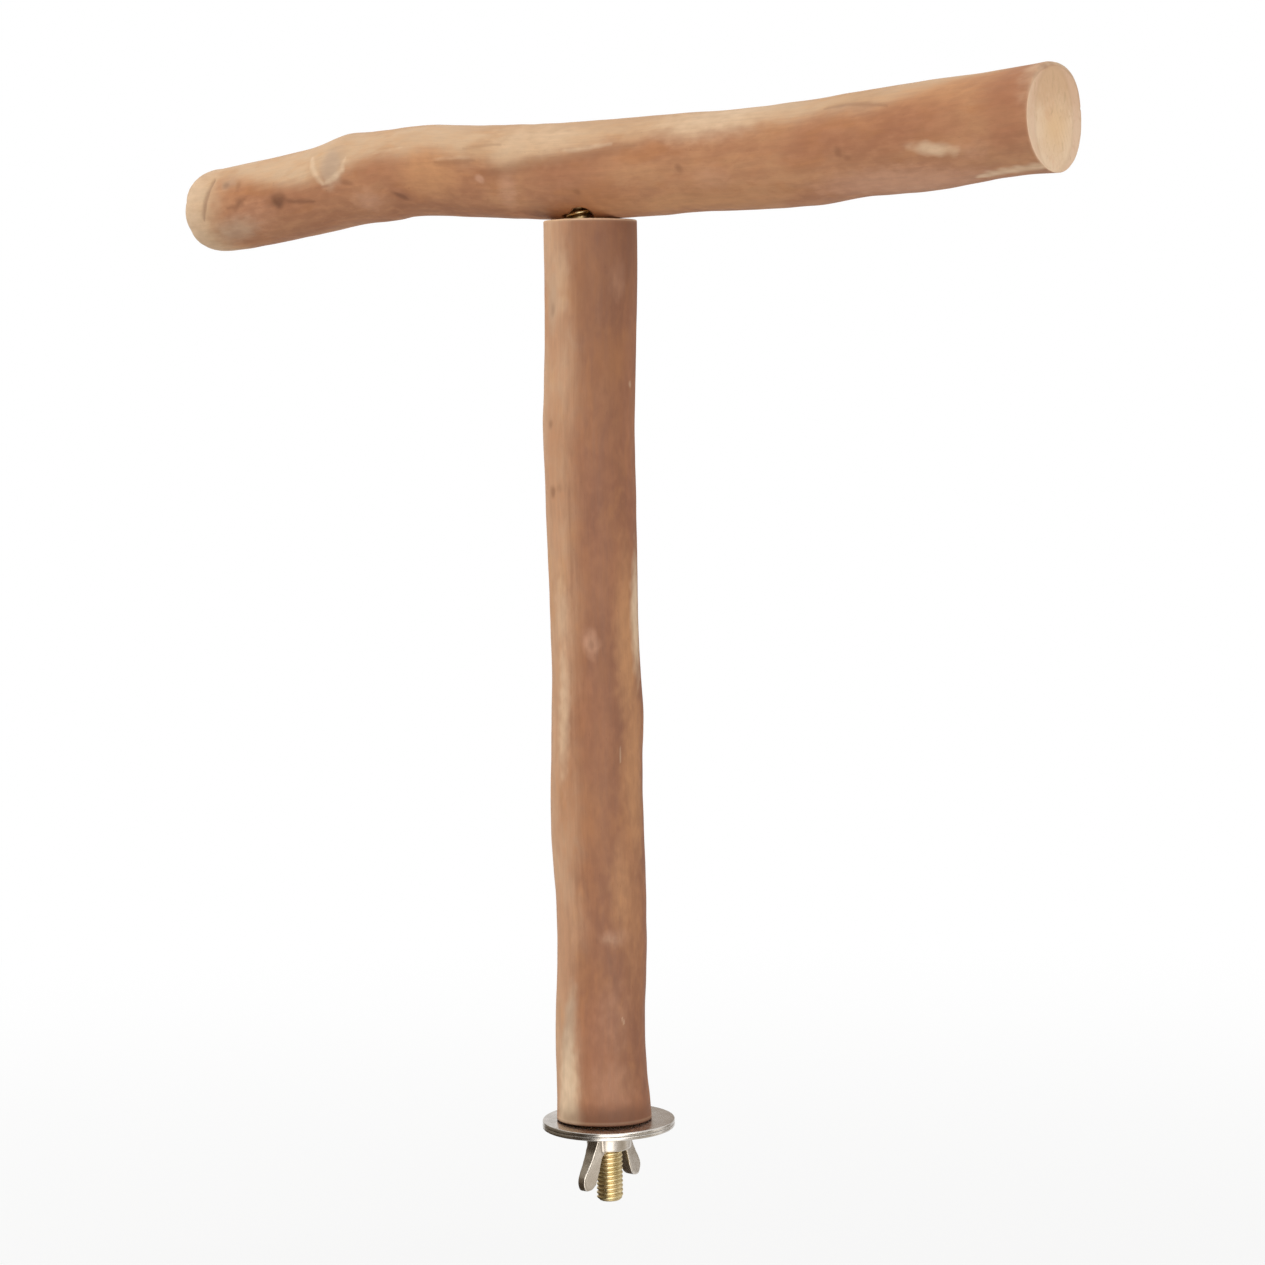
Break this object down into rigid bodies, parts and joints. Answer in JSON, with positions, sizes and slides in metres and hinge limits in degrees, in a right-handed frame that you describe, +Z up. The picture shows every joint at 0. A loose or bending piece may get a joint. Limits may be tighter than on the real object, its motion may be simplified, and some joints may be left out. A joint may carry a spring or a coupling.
{
  "type": "bird perch",
  "caption": "T-shaped natural branch perch: a crossbar on a post, clamped to cage wires by a threaded stud, two washers and a wing nut.",
  "frame": {"origin": "on the stud's axis, in the plane between the two washers, where the cage wires are clamped", "axes": "+Z up the post, +X along the crossbar towards its sawn end, +Y across the crossbar"},
  "size_m": [0.2368, 0.03, 0.2471],
  "materials": {
    "crossbar_wood": "peeled, dry branch, lightly sanded, no lacquer",
    "post_wood": "peeled, dry branch, lightly sanded, no lacquer",
    "yellow_zinc": "yellow zinc plated steel",
    "washer_nickel": "nickel plated, satin, stamped",
    "nut_nickel": "nickel plated, soft cast edges"
  },
  "bodies": {
    "perch": {"post": "post_wood", "joining_screw": "yellow_zinc", "hanger_bolt": "yellow_zinc"},
    "crossbar": {"crossbar": "crossbar_wood"},
    "upper_washer": {"upper_washer": "washer_nickel"},
    "lower_washer": {"lower_washer": "washer_nickel"},
    "wing_nut": {"wing_nut": "nut_nickel"}
  },
  "joints": [
    {"name": "crossbar_turn", "type": "hinge", "parent": "perch", "child": "crossbar", "pos_m": [-0.0023, -0.0018, 0.2028], "axis": [0, 0, 1], "range_deg": [-75, 180]},
    {"name": "upper_washer_spin", "type": "hinge", "parent": "perch", "child": "upper_washer", "pos_m": [0, 0, 0], "axis": [0, 0, 1], "continuous": true},
    {"name": "lower_washer_travel", "type": "slide", "parent": "perch", "child": "lower_washer", "axis": [0, 0, -1], "range_m": [0, 0.01]},
    {"name": "wing_nut_turn", "type": "hinge", "parent": "lower_washer", "child": "wing_nut", "pos_m": [0, 0, 0], "axis": [0, 0, -1], "range_deg": [0, 3600]}
  ],
  "couplings": [
    {"joint": "wing_nut_turn", "follows": "lower_washer_travel", "rad_per_m": 6283.2}
  ]
}
